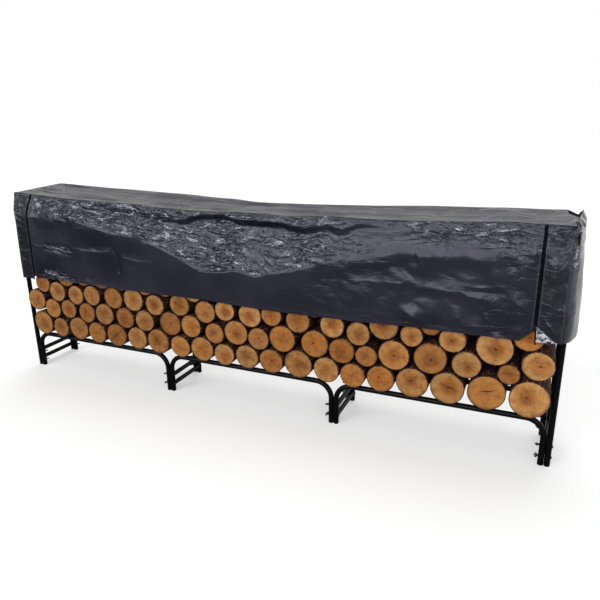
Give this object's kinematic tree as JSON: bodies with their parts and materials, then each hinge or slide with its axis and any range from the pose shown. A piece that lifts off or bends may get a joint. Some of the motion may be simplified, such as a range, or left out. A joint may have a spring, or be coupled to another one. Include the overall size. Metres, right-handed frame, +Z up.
{
  "type": "covered firewood rack",
  "caption": "Long tubular steel firewood rack of bolted bays with tall end frames, filled with stacked round logs and topped by a tarpaulin cover with a zipped front flap",
  "frame": {"origin": "on the floor, under the middle of the covered rack", "axes": "+X along the rack to its right as seen from the zipped front, +Y from the front to the back, +Z up"},
  "size_m": [3.7552, 0.522, 1.3084],
  "materials": {
    "tube_finish": "satin black powder coat",
    "bolts": "black carriage bolt",
    "wing_nuts": "black wing nut",
    "foot_caps": "black moulded plastic",
    "logs": "sawn end grain with dark bark",
    "cover_top": "coated woven tarpaulin, sheen from above",
    "cover_sides": "coated woven tarpaulin, dark",
    "zip_tape": "black zip tape and coil",
    "zip_metal": "black enamelled zip slider"
  },
  "bodies": {
    "rack": {"carriage_bolts_left_end": "bolts", "carriage_bolts_middle_1": "bolts", "carriage_bolts_middle_2": "bolts", "carriage_bolts_right_end": "bolts", "crossbar_left_end_lower": "tube_finish", "crossbar_left_end_upper": "tube_finish", "crossbar_middle_1_lower": "tube_finish", "crossbar_middle_1_upper": "tube_finish", "crossbar_middle_2_lower": "tube_finish", "crossbar_middle_2_upper": "tube_finish", "crossbar_right_end_lower": "tube_finish", "crossbar_right_end_upper": "tube_finish", "end_frame_left": "tube_finish", "end_frame_right": "tube_finish", "foot_caps_left_end": "foot_caps", "foot_caps_middle_1": "foot_caps", "foot_caps_middle_2": "foot_caps", "foot_caps_right_end": "foot_caps", "front_rail_bay_1": "tube_finish", "front_rail_bay_2": "tube_finish", "front_rail_bay_3": "tube_finish", "log_row_1": "logs", "log_row_2": "logs", "log_row_3": "logs", "log_row_4": "logs", "log_rows_above": "logs", "rear_rail_bay_1": "tube_finish", "rear_rail_bay_2": "tube_finish", "rear_rail_bay_3": "tube_finish", "wing_nuts_left_end": "wing_nuts", "wing_nuts_middle_1": "wing_nuts", "wing_nuts_middle_2": "wing_nuts", "wing_nuts_right_end": "wing_nuts"},
    "cover": {"cover_back_panel": "cover_sides", "cover_end_panel_left": "cover_sides", "cover_end_panel_right": "cover_sides", "cover_top_panel": "cover_top", "zip_tape_end_left": "zip_tape", "zip_tape_end_right": "zip_tape"},
    "front_flap": {"cover_front_panel": "cover_sides", "zip_tape_flap_left": "zip_tape", "zip_tape_flap_right": "zip_tape"},
    "zip_slider_left": {"zip_pull_left": "zip_metal", "zip_slider_left": "zip_metal"},
    "zip_slider_right": {"zip_pull_right": "zip_metal", "zip_slider_right": "zip_metal"}
  },
  "joints": [
    {"name": "cover_lift", "type": "slide", "parent": "rack", "child": "cover", "axis": [0, 0, 1], "range_m": [0, 0.65]},
    {"name": "front_flap_hinge", "type": "hinge", "parent": "cover", "child": "front_flap", "pos_m": [0, -0.174, 1.3054], "axis": [-1, 0, 0], "range_deg": [0, 165]},
    {"name": "zip_slide_left", "type": "slide", "parent": "front_flap", "child": "zip_slider_left", "axis": [0, 0.0227, 0.9997], "range_m": [-0.055, 0.38]},
    {"name": "zip_slide_right", "type": "slide", "parent": "front_flap", "child": "zip_slider_right", "axis": [0, 0.0227, 0.9997], "range_m": [-0.075, 0.36]}
  ]
}
